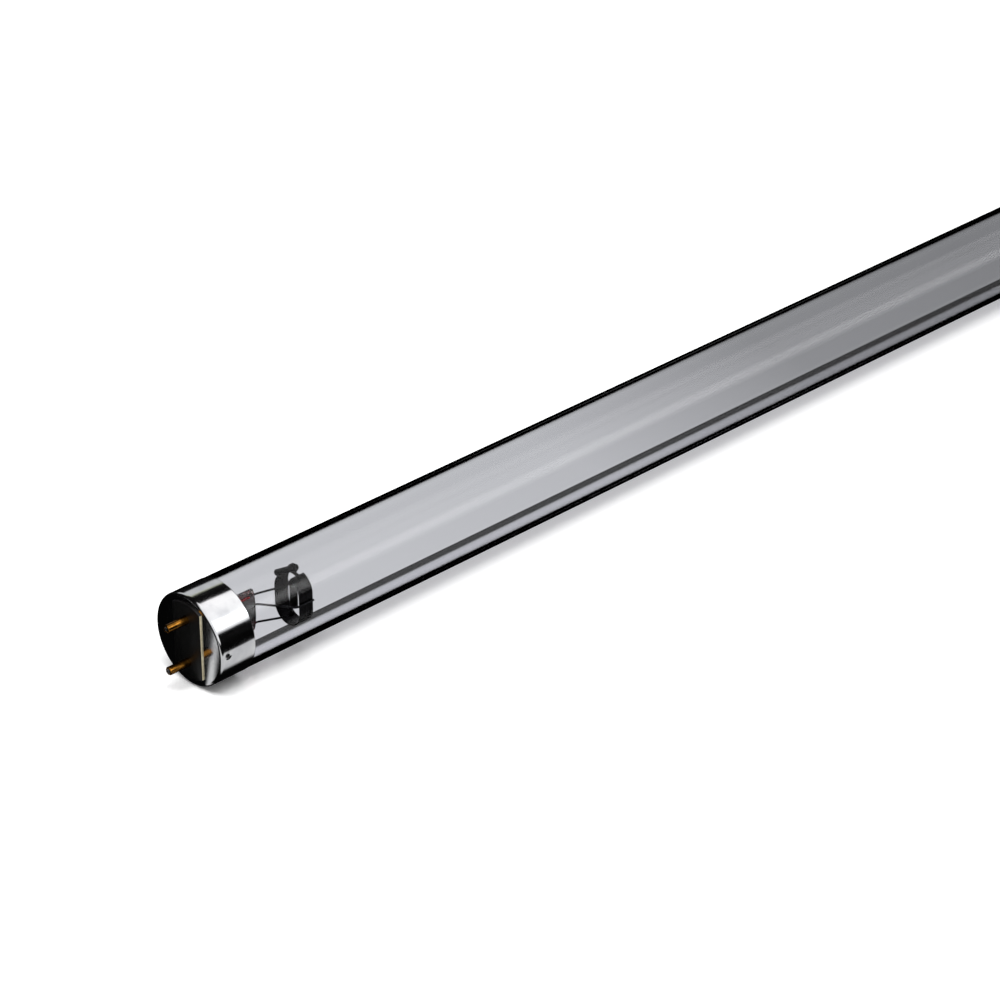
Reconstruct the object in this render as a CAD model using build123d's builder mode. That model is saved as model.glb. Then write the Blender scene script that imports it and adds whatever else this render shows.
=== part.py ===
from build123d import *
import math
import os

# Clear germicidal discharge lamp with a two-pin cap at each end.
# Millimetres. X runs along the tube, Z is up, the origin is the middle of the lamp.
# "Depth" is the distance from a cap's outer face into the lamp, "across" is level
# and "up" is upright, all three counted from the middle of that cap's face.

os.makedirs("parts", exist_ok=True)

# Glass tube
cap_face_distance = 437.4
tube_radius = 13.0
tube_wall = 0.8
neck_step = 0.9
shoulder_length = 2.6
shoulder_shown = 1.4
rim_depth = 4.6

# Aluminium cap
cap_length = 11.6
cap_wall = 0.4
cap_proud = 0.1
cap_edge = 0.4
dimple_radius = 0.8
dimple_sink = 0.2
dimple_setback = 2.3

# Insulating strip in the cap's end wall
strip_width = 11.0
strip_proud = 0.5
strip_clearance = 0.05
flange_thickness = 1.2
flange_lap = 1.4
flange_clearance = 0.1

# Contact pins
pin_spacing = 12.7
pin_radius = 1.175
pin_length = 7.1
pin_tip_chamfer = 0.25
pin_shank_radius = 1.0
pin_flange_radius = 1.9
pin_flange_thickness = 0.7
pin_solder_length = 5.3

# Cement ring
cement_start_depth = 5.6

# Stem: flare, tube and flat press
flare_wall = 0.9
stem_radius = 4.8
stem_wall = 0.9
stem_length = 5.8
press_taper_length = 6.0
press_length = 5.5
press_height = 13.2
press_thickness = 3.0
stem_cavity_length = 3.5
cavity_side_wall = 0.95
cavity_face_wall = 1.2

# Exhaust tube, sealed off inside the cap
exhaust_radius = 1.5
exhaust_wall = 0.5
exhaust_length = 9.5
exhaust_tip = 1.8
vent_radius = 0.6
vent_setback = 1.1

# Wires
lead_radius = 0.3
press_lead_spacing = 8.6
stem_lead_spacing = 5.8
outer_lead_seat = 2.5
seal_wire_length = 4.0
lead_run = 1.2
wire_sides = 6

# Cathode coil and its crimps
coil_depth = 34.2
coil_radius = 0.9
coil_wire_radius = 0.26
coil_turns = 6
coil_sides = 8
coil_length = 6.6
crimp_spacing = 9.4
crimp_width = 1.1
crimp_height = 1.3
crimp_length = 1.5
leg_overhang = 0.3

# Guard ring, a strip bent to an oval that is open at the top
mount_across = -1.0
mount_up = -1.3
guard_height = 15.0
guard_width = 10.0
guard_length = 4.7
guard_strip = 0.3
guard_gap = 3.0
support_up = 1.2
support_foot_up = 0.4
support_seat = 3.5

# Mercury capsule and its clip
capsule_radius = 0.9
capsule_length = 7.5
capsule_edge = 0.4
capsule_setback = 1.7
capsule_tilt = 9.5
clip_length = 1.0
clip_strip = 0.3
clip_foot_angle = 36.0
clip_clearance = 0.12

# Sizes that follow from the ones above
neck_radius = tube_radius - neck_step
neck_bore = neck_radius - tube_wall
cap_radius = tube_radius + cap_proud
cap_bore = cap_radius - cap_wall
shoulder_start = cap_length + shoulder_shown
shoulder_end = shoulder_start - shoulder_length
flange_radius = cap_bore - flange_clearance
slot_radius = flange_radius - flange_lap
flange_back = cap_wall + flange_thickness
pin_back = flange_back + pin_flange_thickness
lead_start = pin_solder_length - pin_length
taper_start = rim_depth + stem_length
press_start = taper_start + press_taper_length
press_end = press_start + press_length
cavity_end = taper_start + stem_cavity_length
seal_start = cavity_end + outer_lead_seat
seal_end = seal_start + seal_wire_length
guard_flat = guard_height - guard_width
guard_start = coil_depth + coil_radius - guard_length / 2
clip_depth = coil_depth + coil_radius - clip_length / 2
capsule_depth = clip_depth - capsule_setback


def end_frame(side):
    """Plane on a cap's face (side is -1 or 1): x across, y up, z into the lamp."""
    return Plane(
        origin=(side * cap_face_distance / 2, 0, 0),
        x_dir=(0, -side, 0),
        z_dir=(-side, 0, 0),
    )


def upright_section(face, up=0.0):
    """Upright plane along the lamp through a point of the face: x is depth, y is up."""
    return Plane(
        origin=face.from_local_coords((0, up, 0)),
        x_dir=face.z_dir,
        z_dir=-face.x_dir,
    )


def keep(piece, name):
    """Label a finished piece and write it as its own file."""
    piece.part.label = name
    export_step(piece.part, f"parts/{name}.step")


def wire_section(face, point, radius):
    """Wire's section at a point given as (across, up, depth), for a wire along the lamp."""
    plane = Plane(face.from_local_coords(point), x_dir=face.x_dir, z_dir=face.z_dir)
    with BuildSketch(plane) as section:
        RegularPolygon(radius, wire_sides)
    return section.sketch


def route(face, points):
    """Straight runs through points given as (across, up, depth)."""
    with BuildLine(face) as runs:
        Polyline(*points)
    return runs.line


def wire(face, points):
    """Wire bent at each of its points."""
    with BuildPart() as wire_part:
        sweep(
            wire_section(face, points[0], lead_radius),
            path=route(face, points),
            transition=Transition.RIGHT,
        )
    return wire_part


# The clear tube, drawn in to a neck under each cap
def make_envelope():
    section = upright_section(end_frame(-1))
    middle = cap_face_distance / 2
    with BuildPart() as glass_envelope:
        with BuildSketch(section):
            with BuildLine():
                Polyline(
                    (middle, tube_radius),
                    (shoulder_start, tube_radius),
                    (shoulder_end, neck_radius),
                    (rim_depth, neck_radius),
                    (rim_depth, neck_bore),
                    (shoulder_end, neck_bore),
                    (shoulder_start, tube_radius - tube_wall),
                    (middle, tube_radius - tube_wall),
                    (middle, tube_radius),
                )
            make_face()
        revolve(axis=Axis.X)
        mirror(about=Plane.YZ)
    keep(glass_envelope, "glass_envelope")


# Drawn aluminium cup with a slot for the strip and a staking dimple on each side
def make_cap_shell(face, end_name):
    section = upright_section(face)
    with BuildPart() as cap_shell:
        with BuildSketch(section):
            with BuildLine():
                Polyline(
                    (0, 0),
                    (0, cap_radius - cap_edge),
                    (cap_edge, cap_radius),
                    (cap_length, cap_radius),
                    (cap_length, cap_bore),
                    (cap_wall, cap_bore),
                    (cap_wall, 0),
                    (0, 0),
                )
            make_face()
        revolve(axis=Axis(face.origin, face.z_dir))
        with BuildSketch(face):
            Circle(slot_radius)
            Rectangle(strip_width, 2 * slot_radius, mode=Mode.INTERSECT)
        extrude(amount=cap_wall, mode=Mode.SUBTRACT)
        for across in (-1, 1):
            # a ball that leaves a round dent of dimple_radius, dimple_sink deep
            ball = (dimple_radius**2 + dimple_sink**2) / (2 * dimple_sink)
            centre = (across * (cap_radius - dimple_sink + ball), 0, dimple_setback)
            with Locations(face.from_local_coords(centre)):
                Sphere(ball, mode=Mode.SUBTRACT)
    keep(cap_shell, f"{end_name}_cap_shell")


# Black moulded plate behind the end wall, with the strip that fills the slot
def make_cap_insulator(face, end_name):
    strip_reach = slot_radius - strip_clearance
    with BuildPart() as cap_insulator:
        with BuildSketch(face.offset(cap_wall)):
            Circle(flange_radius)
            Rectangle(strip_width + 2 * flange_lap, 2 * flange_radius, mode=Mode.INTERSECT)
        extrude(amount=flange_thickness)
        with BuildSketch(face.offset(-strip_proud)):
            Circle(strip_reach)
            Rectangle(strip_width - 2 * strip_clearance, 2 * strip_reach, mode=Mode.INTERSECT)
        extrude(amount=strip_proud + cap_wall)
        with BuildSketch(face.offset(-strip_proud)):
            with GridLocations(0, pin_spacing, 1, 2):
                Circle(pin_shank_radius)
        extrude(amount=strip_proud + flange_back, mode=Mode.SUBTRACT)
    keep(cap_insulator, f"{end_name}_cap_insulator")


# Hollow brass pin: its shoulder rests on the strip, a thinner shank runs through and is flanged behind.
# Solder closes it from the tip to the lead's end.
def make_pin(face, up, name):
    with BuildPart() as pin:
        with BuildSketch(upright_section(face, up)):
            with BuildLine():
                Polyline(
                    (-pin_length, 0),
                    (-pin_length, pin_radius - pin_tip_chamfer),
                    (pin_tip_chamfer - pin_length, pin_radius),
                    (-strip_proud, pin_radius),
                    (-strip_proud, pin_shank_radius),
                    (flange_back, pin_shank_radius),
                    (flange_back, pin_flange_radius),
                    (pin_back, pin_flange_radius),
                    (pin_back, 0),
                    (-pin_length, 0),
                )
            make_face()
        revolve(axis=Axis(face.from_local_coords((0, up, 0)), face.z_dir))
        bore = wire_section(face, (0, up, lead_start), lead_radius)
        extrude(bore, amount=pin_back - lead_start, mode=Mode.SUBTRACT)
    keep(pin, name)


# Cement that bonds the skirt to the neck
def make_cement(face, end_name):
    with BuildPart() as cap_cement:
        with BuildSketch(face.offset(cement_start_depth)):
            Circle(cap_bore)
            Circle(neck_radius, mode=Mode.SUBTRACT)
        extrude(amount=shoulder_end - cement_start_depth)
    keep(cap_cement, f"{end_name}_cap_cement")


def pinched_cone(face, start, end, radius, half_height, half_thickness):
    """Cone that grows upright to half_height while its two sides close in to flats."""
    with BuildPart() as cone:
        with BuildSketch(upright_section(face)):
            with BuildLine():
                Polyline((start, 0), (start, radius), (end, half_height), (end, 0), (start, 0))
            make_face()
        revolve(axis=Axis(face.origin, face.z_dir))
        for side in (-1, 1):
            with BuildSketch(Plane(face.origin, x_dir=face.z_dir, z_dir=face.y_dir)):
                with BuildLine():
                    Polyline(
                        (start, side * radius),
                        (end, side * half_thickness),
                        (end, side * half_height),
                        (start, side * half_height),
                        (start, side * radius),
                    )
                make_face()
            extrude(amount=half_height, both=True, mode=Mode.SUBTRACT)
    return cone.part


# Stem tube with its end flared flat to the neck and its other end pressed round the wires
def make_stem(face, end_name):
    stem_bore = stem_radius - stem_wall
    cavity_share = stem_cavity_length / press_taper_length
    thickness_there = stem_radius + (press_thickness / 2 - stem_radius) * cavity_share
    height_there = stem_radius + (press_height / 2 - stem_radius) * cavity_share
    taper = pinched_cone(
        face, taper_start, press_start, stem_radius, press_height / 2, press_thickness / 2
    )
    cavity = pinched_cone(
        face,
        taper_start,
        cavity_end,
        stem_bore,
        height_there - cavity_side_wall,
        thickness_there - cavity_face_wall,
    )
    with BuildPart() as stem:
        with BuildSketch(upright_section(face)):
            with BuildLine():
                Polyline(
                    (rim_depth, neck_bore),
                    (rim_depth, stem_bore),
                    (taper_start, stem_bore),
                    (taper_start, stem_radius),
                    (rim_depth + flare_wall, stem_radius),
                    (rim_depth + flare_wall, neck_bore),
                    (rim_depth, neck_bore),
                )
            make_face()
        revolve(axis=Axis(face.origin, face.z_dir))
        add(taper)
        with BuildSketch(face.offset(press_start)):
            Circle(press_height / 2)
            Rectangle(press_thickness, press_height, mode=Mode.INTERSECT)
        extrude(amount=press_length)
        add(cavity, mode=Mode.SUBTRACT)
        with BuildSketch(face.offset(cavity_end)):
            with GridLocations(0, press_lead_spacing, 1, 2):
                RegularPolygon(lead_radius, wire_sides)
        extrude(amount=press_end - cavity_end, mode=Mode.SUBTRACT)
        with BuildSketch(face.offset(press_end - support_seat)):
            with Locations((0, support_up)):
                RegularPolygon(lead_radius, wire_sides)
        extrude(amount=support_seat, mode=Mode.SUBTRACT)
        # the bore that the air leaves through runs into a cross hole in the press
        vent_centre = face.from_local_coords((0, 0, press_start + vent_setback))
        with BuildSketch(face.offset(cavity_end)):
            RegularPolygon(vent_radius, wire_sides)
        extrude(amount=press_start + vent_setback - cavity_end, mode=Mode.SUBTRACT)
        with BuildSketch(Plane(vent_centre, z_dir=face.x_dir)):
            RegularPolygon(vent_radius, wire_sides)
        extrude(amount=press_thickness, both=True, mode=Mode.SUBTRACT)
    keep(stem, f"{end_name}_stem")


# Narrow tube that the air was drawn through, melted shut to a point
def make_exhaust_tube(face, end_name):
    closed_depth = cavity_end - exhaust_length
    bore = exhaust_radius - exhaust_wall
    with BuildPart() as exhaust_tube:
        with BuildSketch(upright_section(face)):
            with BuildLine():
                Polyline(
                    (closed_depth, 0),
                    (closed_depth + exhaust_tip, exhaust_radius),
                    (cavity_end, exhaust_radius),
                    (cavity_end, bore),
                    (closed_depth + exhaust_tip, bore),
                    (closed_depth + exhaust_tip, 0),
                    (closed_depth, 0),
                )
            make_face()
        revolve(axis=Axis(face.origin, face.z_dir))
    keep(exhaust_tube, f"{end_name}_exhaust_tube")


# Wires of one side: pin to press, seal in the glass, and press to coil
def make_leads(face, end_name, level, sign):
    pin_up = sign * pin_spacing / 2
    stem_up = sign * stem_lead_spacing / 2
    press_up = sign * press_lead_spacing / 2
    crimp_up = mount_up + sign * crimp_spacing / 2

    outer_lead = wire(
        face,
        (
            (0, pin_up, lead_start),
            (0, pin_up, pin_back + lead_radius),
            (0, stem_up, rim_depth),
            (0, stem_up, taper_start),
            (0, press_up, cavity_end - lead_run / 2),
            (0, press_up, seal_start),
        ),
    )
    keep(outer_lead, f"{end_name}_outer_lead_{level}")

    seal_wire = wire(face, ((0, press_up, seal_start), (0, press_up, seal_end)))
    keep(seal_wire, f"{end_name}_seal_wire_{level}")

    inner_lead = wire(
        face,
        (
            (0, press_up, seal_end),
            (0, press_up, press_end + lead_run),
            (mount_across, crimp_up, coil_depth - crimp_length - lead_run),
            (mount_across, crimp_up, coil_depth),
        ),
    )
    leg_bottom = (mount_across, crimp_up - crimp_height, coil_depth)
    with BuildPart() as crimped_lead:
        add(inner_lead.part)
        # the flattened end of the lead is folded round the coil's leg
        with BuildSketch(face.offset(coil_depth - crimp_length / 2)):
            with Locations((mount_across, crimp_up)):
                Rectangle(crimp_width, crimp_height)
        extrude(amount=crimp_length)
        extrude(leg_section(face, leg_bottom), amount=2 * crimp_height, mode=Mode.SUBTRACT)
    keep(crimped_lead, f"{end_name}_inner_lead_{level}")


def leg_section(face, point):
    """Section of the coil's wire where it runs straight up through a point."""
    with BuildSketch(Plane(face.from_local_coords(point), x_dir=face.x_dir, z_dir=face.y_dir)) as leg:
        RegularPolygon(coil_wire_radius, wire_sides)
    return leg.sketch


# Upright coil with a straight leg through each crimp
def make_filament(face, end_name):
    leg_reach = crimp_spacing / 2 + crimp_height / 2 + leg_overhang
    steps = coil_turns * coil_sides
    points = [(mount_across, mount_up - leg_reach, coil_depth)]
    for step in range(steps + 1):
        turn = math.radians(360 * step / coil_sides)
        points.append(
            (
                mount_across + coil_radius * math.sin(turn),
                mount_up + coil_length * (step / steps - 0.5),
                coil_depth + coil_radius * (1 - math.cos(turn)),
            )
        )
    upper_leg = (mount_across, mount_up + coil_length / 2 - coil_wire_radius, coil_depth)
    with BuildPart() as filament:
        sweep(
            leg_section(face, points[0]),
            path=route(face, points),
            transition=Transition.RIGHT,
        )
        extrude(leg_section(face, upper_leg), amount=leg_reach + coil_wire_radius - coil_length / 2)
    keep(filament, f"{end_name}_filament")


# Strip bent to an oval, its two ends apart at the top
def make_guard_ring(face, end_name):
    with BuildPart() as guard_ring:
        with BuildSketch(face.offset(guard_start)):
            with Locations((mount_across, mount_up)):
                SlotOverall(guard_height, guard_width, rotation=90)
                SlotOverall(
                    guard_height - 2 * guard_strip,
                    guard_width - 2 * guard_strip,
                    rotation=90,
                    mode=Mode.SUBTRACT,
                )
            with Locations((mount_across, mount_up + guard_height / 2)):
                Rectangle(guard_gap, guard_width / 2, mode=Mode.SUBTRACT)
        extrude(amount=guard_length)
    keep(guard_ring, f"{end_name}_guard_ring")


# Wire that stands in the press and is welded along the ring's flat side
def make_guard_support(face, end_name):
    side_across = mount_across - guard_width / 2 - lead_radius
    guard_support = wire(
        face,
        (
            (0, support_up, press_end - support_seat),
            (0, support_up, press_end + lead_run),
            (side_across, mount_up + support_foot_up, guard_start - lead_run),
            (side_across, mount_up + support_foot_up, guard_start + guard_length),
        ),
    )
    keep(guard_support, f"{end_name}_guard_support")


# Small sealed capsule that held the mercury, lying over the gap of the near ring
def capsule_up(depth):
    """Height of the capsule's axis above the middle of the ring."""
    seat = guard_height / 2 + clip_strip + clip_clearance + capsule_radius
    return seat + (clip_depth + clip_length / 2 - depth) * math.tan(math.radians(capsule_tilt))


def make_mercury_capsule(face):
    centre = (mount_across, mount_up + capsule_up(capsule_depth), capsule_depth)
    tilted = face.z_dir.rotate(Axis(face.origin, face.x_dir), capsule_tilt)
    middle = Plane(face.from_local_coords(centre), x_dir=face.x_dir, z_dir=tilted)
    with BuildPart() as mercury_capsule:
        with BuildSketch(Plane(middle.origin, x_dir=middle.z_dir, z_dir=-middle.x_dir)):
            with BuildLine():
                Polyline(
                    (-capsule_length / 2, 0),
                    (-capsule_length / 2, capsule_radius - capsule_edge),
                    (capsule_edge - capsule_length / 2, capsule_radius),
                    (capsule_length / 2 - capsule_edge, capsule_radius),
                    (capsule_length / 2, capsule_radius - capsule_edge),
                    (capsule_length / 2, 0),
                    (-capsule_length / 2, 0),
                )
            make_face()
        revolve(axis=Axis(middle.origin, middle.z_dir))
    keep(mercury_capsule, "mercury_capsule")


# Clip bent from strip: an eye round the capsule on a saddle welded over the ring's gap
def make_capsule_clip(face):
    eye_radius = capsule_radius + clip_clearance
    eye_up = mount_up + capsule_up(clip_depth + clip_length / 2)
    saddle_up = mount_up + guard_flat / 2
    saddle_radius = guard_width / 2
    with BuildPart() as capsule_clip:
        with BuildSketch(face.offset(clip_depth)):
            with BuildLine():
                lower = CenterArc(
                    (mount_across, saddle_up),
                    saddle_radius,
                    90 - clip_foot_angle,
                    2 * clip_foot_angle,
                )
                upper = CenterArc(
                    (mount_across, saddle_up),
                    saddle_radius + clip_strip,
                    90 - clip_foot_angle,
                    2 * clip_foot_angle,
                )
                Line(lower @ 0, upper @ 0)
                Line(lower @ 1, upper @ 1)
            make_face()
            with Locations((mount_across, eye_up)):
                Circle(eye_radius + clip_strip)
                Circle(eye_radius, mode=Mode.SUBTRACT)
        extrude(amount=clip_length)
    keep(capsule_clip, "capsule_clip")


def make_end(face, end_name):
    make_cap_shell(face, end_name)
    make_cap_insulator(face, end_name)
    make_cement(face, end_name)
    make_stem(face, end_name)
    make_exhaust_tube(face, end_name)
    for level, sign in (("upper", 1), ("lower", -1)):
        make_pin(face, sign * pin_spacing / 2, f"{end_name}_pin_{level}")
        make_leads(face, end_name, level, sign)
    make_filament(face, end_name)
    make_guard_ring(face, end_name)
    make_guard_support(face, end_name)


make_envelope()
for end_name, side in (("near", -1), ("far", 1)):
    make_end(end_frame(side), end_name)
make_mercury_capsule(end_frame(-1))
make_capsule_clip(end_frame(-1))
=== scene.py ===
import math
from types import SimpleNamespace

import bpy
from bpy.props import FloatProperty, FloatVectorProperty, IntProperty, PointerProperty, StringProperty
from mathutils import Matrix, Vector

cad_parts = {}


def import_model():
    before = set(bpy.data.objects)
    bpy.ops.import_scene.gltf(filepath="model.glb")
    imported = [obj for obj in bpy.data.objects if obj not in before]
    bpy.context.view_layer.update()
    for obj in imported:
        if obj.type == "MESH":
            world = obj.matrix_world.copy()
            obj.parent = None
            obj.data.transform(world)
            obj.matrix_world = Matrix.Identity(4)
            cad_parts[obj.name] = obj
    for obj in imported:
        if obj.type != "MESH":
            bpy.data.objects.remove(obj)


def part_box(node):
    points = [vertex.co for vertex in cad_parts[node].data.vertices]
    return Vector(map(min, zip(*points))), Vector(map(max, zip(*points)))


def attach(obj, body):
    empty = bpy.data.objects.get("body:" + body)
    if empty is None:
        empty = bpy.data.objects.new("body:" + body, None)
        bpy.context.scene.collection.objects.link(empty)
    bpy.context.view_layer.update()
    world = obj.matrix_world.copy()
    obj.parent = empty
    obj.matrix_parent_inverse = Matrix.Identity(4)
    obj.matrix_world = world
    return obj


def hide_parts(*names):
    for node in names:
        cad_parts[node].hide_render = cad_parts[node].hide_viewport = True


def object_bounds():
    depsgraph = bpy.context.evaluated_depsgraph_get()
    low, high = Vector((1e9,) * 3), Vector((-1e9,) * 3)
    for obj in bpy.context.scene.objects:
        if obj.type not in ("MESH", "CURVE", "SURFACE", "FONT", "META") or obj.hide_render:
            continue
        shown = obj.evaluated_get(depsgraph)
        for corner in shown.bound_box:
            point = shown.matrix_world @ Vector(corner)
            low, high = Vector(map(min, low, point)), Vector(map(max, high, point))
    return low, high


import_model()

bl_info = {
    "name": "Germicidal Lamp Tube",
    "version": (1, 0, 0),
    "blender": (4, 5, 0),
    "location": "View3D > Sidebar > Lamp",
    "description": "Clear discharge lamp with a two-pin cap and a cathode mount at each end",
    "category": "Add Mesh",
}

MM = 0.001
CAD_LOW, CAD_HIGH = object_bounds()
NEAR_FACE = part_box("near_cap_shell")[0].x
SORT_CORNER = (-0.31, 0.17, 0.23)  # odd place beside the lamp, hardly level with two points at once

# Sizes in millimetres that more than one piece shares and no box gives.
FLATTEN_DEPTH = 10.4  # where the stem's tube starts to flatten
STEM_WIRE_UP = 2.9  # height of the outer leads in the stem's tube
PRESS_WIRE_UP = 4.3  # height of the wires in the press
BEND_DEPTH = 23.1  # where the wires spread behind the press
RING_TALL = 15.0  # height of the whole guard ring, its gap included
DENT = SimpleNamespace(radius=1.15, sink=0.3, setback=2.3, hole=0.68)  # staking dent in the skirt


def mm(value):
    """A length of the frame in millimetres."""
    return value / MM


def extent(name):
    """A solid's box in millimetres; start and end are depths from the near cap's outer face."""
    low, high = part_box(name)
    return SimpleNamespace(
        start=mm(low.x - NEAR_FACE),
        end=mm(high.x - NEAR_FACE),
        left=mm(low.y),
        bottom=mm(low.z),
        top=mm(high.z),
        across=mm(low.y + high.y) / 2,
        up=mm(low.z + high.z) / 2,
        wide=mm(high.y - low.y),
        tall=mm(high.z - low.z),
    )


ENVELOPE = extent("glass_envelope")
SHELL = extent("near_cap_shell")
RING = extent("near_guard_ring")
COIL = extent("near_filament")


def length(name, description, default):
    """Size that a user may change; the default is in millimetres."""
    return FloatProperty(
        name=name,
        description=description,
        default=default * MM,
        min=0,
        precision=5,
        unit="LENGTH",
    )


class LampSizes(bpy.types.PropertyGroup):
    """Sizes of the glass, cap and mount."""

    tube_radius: length("Tube radius", "Outside radius of the glass", ENVELOPE.top)
    tube_wall: length("Tube wall", "Wall of the glass", 0.8)
    neck_step: length("Neck step", "How far the neck is drawn in", 0.9)
    rim_depth: length("Rim depth", "Depth of the glass's end", ENVELOPE.start)
    shoulder_start: length("Shoulder start", "Depth where the full tube begins", 13.0)
    shoulder_end: length("Shoulder end", "Depth where the neck begins", 10.4)
    cap_radius: length("Cap radius", "Outside radius of the cap", SHELL.top)
    cap_length: length("Cap length", "Length of the cap", SHELL.end)
    cap_wall: length("Cap wall", "Sheet that the cap is drawn from", 0.4)
    cap_edge: length("Cap edge", "Radius of the cap's front edge", 0.8)
    strip_width: length("Strip width", "Width of the insulating strip", 11.0)
    strip_reach: length("Strip reach", "Radius of the strip's ends", 11.2)
    strip_proud: length("Strip proud", "How far the strip stands out", 0.5)
    pin_spacing: length("Pin spacing", "Between the pins' axes", 12.7)
    pin_radius: length("Pin radius", "Radius of a contact pin", 1.175)
    pin_length: length("Pin length", "Pin's length in front of the cap", 7.1)
    lead_radius: length("Lead radius", "Radius of the wires", 0.3)
    coil_turns: IntProperty(name="Coil turns", description="Turns of the cathode coil", default=13, min=4)


class LampColours(bpy.types.PropertyGroup):
    """Colours of the finishes, as sRGB hex."""

    glass: StringProperty(name="Glass", description="Tint of the clear glass", default="FBFBFC")
    aluminium: StringProperty(name="Aluminium", description="Cap", default="D9DADB")
    bakelite: StringProperty(name="Bakelite", description="Insulating strip", default="0C0B0B")
    brass: StringProperty(name="Brass", description="Contact pins", default="9A6826")
    nickel: StringProperty(name="Nickel", description="Wires and ring", default="303032")
    copper: StringProperty(name="Copper", description="Sealed wires", default="C4353C")
    floor: FloatVectorProperty(
        name="Floor",
        description="Floor's colour",
        subtype="COLOR",
        size=3,
        default=(0.8, 0.8, 0.8),
    )


def sizes():
    """The lamp's lengths in millimetres, and its counts."""
    group = bpy.context.scene.lamp_sizes
    values = {name: getattr(group, name) for name in LampSizes.__annotations__}
    return SimpleNamespace(**{name: v if isinstance(v, int) else mm(v) for name, v in values.items()})


def colours():
    """The lamp's colours."""
    return bpy.context.scene.lamp_colours


# Materials


def linear(code):
    """sRGB hex to linear RGBA."""
    channels = [int(code[i:i + 2], 16) / 255 for i in (0, 2, 4)]
    return tuple(c / 12.92 if c <= 0.04045 else ((c + 0.055) / 1.055) ** 2.4 for c in channels) + (1.0,)


def node(tree, kind, settings=None, **inputs):
    """Adds a node, sets its attributes and sockets, and fills its inputs. An input is named by its label with
    _ for a space, or by i and its number. It takes a value, or another node's output as (node, output)."""
    made = tree.nodes.new("ShaderNode" + kind)
    for name, value in (settings or {}).items():
        if hasattr(made, name):
            setattr(made, name, value)
        else:
            made.inputs[name].default_value = value
    for name, value in inputs.items():
        by_number = name[0] == "i" and name[1:].isdigit()
        socket = made.inputs[int(name[1:]) if by_number else name.replace("_", " ")]
        if isinstance(value, tuple) and isinstance(value[0], bpy.types.Node):
            source, output = value
            tree.links.new(source.outputs[output], socket)
        else:
            socket.default_value = value
    return made


def calculate(tree, operation, *values):
    """Math node; each value is a number or (node, output)."""
    inputs = {f"i{number}": value for number, value in enumerate(values)}
    return node(tree, "Math", {"operation": operation}, **inputs)


def spread(tree, value, start, end, low=0.0, high=1.0):
    """Maps a value from between start and end to between low and high."""
    limits = {"From Min": start, "From Max": end, "To Min": low, "To Max": high}
    return node(tree, "MapRange", limits, Value=value)


def mix_colours(tree, share, first, second, blend="MIX"):
    """Mix of two colours; the result is output 2."""
    settings = {"data_type": "RGBA", "blend_type": blend}
    return node(tree, "Mix", settings, i0=share, i6=first, i7=second)


def mix_shaders(tree, share, first, second):
    """Mix of two shaders; share is how much of the second shows."""
    return node(tree, "MixShader", Fac=share, i1=(first, 0), i2=(second, 0))


def new_material(name):
    """Empty node material, and its tree."""
    material = bpy.data.materials.new(name)
    material.use_nodes = True
    material.node_tree.nodes.clear()
    return material, material.node_tree


def ramp(tree, source, output, stops):
    """Colour ramp over a value; stops are (place, RGBA)."""
    made = node(tree, "ValToRGB", Fac=(source, output))
    elements = made.color_ramp.elements
    while len(elements) > 1:
        elements.remove(elements[-1])
    elements[0].position, elements[0].color = stops[0]
    for place, colour in stops[1:]:
        elements.new(place).color = colour
    return made


def grey(value):
    """Linear RGBA of one tone."""
    return (value, value, value, 1.0)


def object_noise(tree, grain_mm, detail=4.0, stretch=(1, 1, 1)):
    """Noise on the piece's own coordinates; grain_mm is the size of one blotch."""
    place = node(tree, "TexCoord")
    mapped = node(tree, "Mapping", {"Scale": stretch}, Vector=(place, "Object"))
    settings = {"Scale": 1 / (grain_mm * MM), "Detail": detail}
    return node(tree, "TexNoise", settings, Vector=(mapped, 0))


def section_edge(tree):
    """How near a point is to the edge of the tube's round section as it is seen: 0 in the middle, 1 at the
    edge, and the same for every slant at which the tube is looked along."""
    along = node(tree, "CombineXYZ", {"X": 1.0})
    across = node(tree, "LayerWeight", {"Blend": 0.5}, Normal=(along, 0))
    facing = node(tree, "LayerWeight", {"Blend": 0.5})
    slant = calculate(tree, "SUBTRACT", 1.0, (across, "Facing"))
    square = calculate(tree, "MULTIPLY", (slant, 0), (slant, 0))
    rest = calculate(tree, "SUBTRACT", 1.0, (square, 0))
    section = calculate(tree, "SQRT", (rest, 0))
    towards = calculate(tree, "SUBTRACT", 1.0, (facing, "Facing"))
    ratio = calculate(tree, "DIVIDE", (towards, 0), (section, 0))
    edge = calculate(tree, "SUBTRACT", 1.0, (ratio, 0))
    edge.use_clamp = True
    return edge


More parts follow.
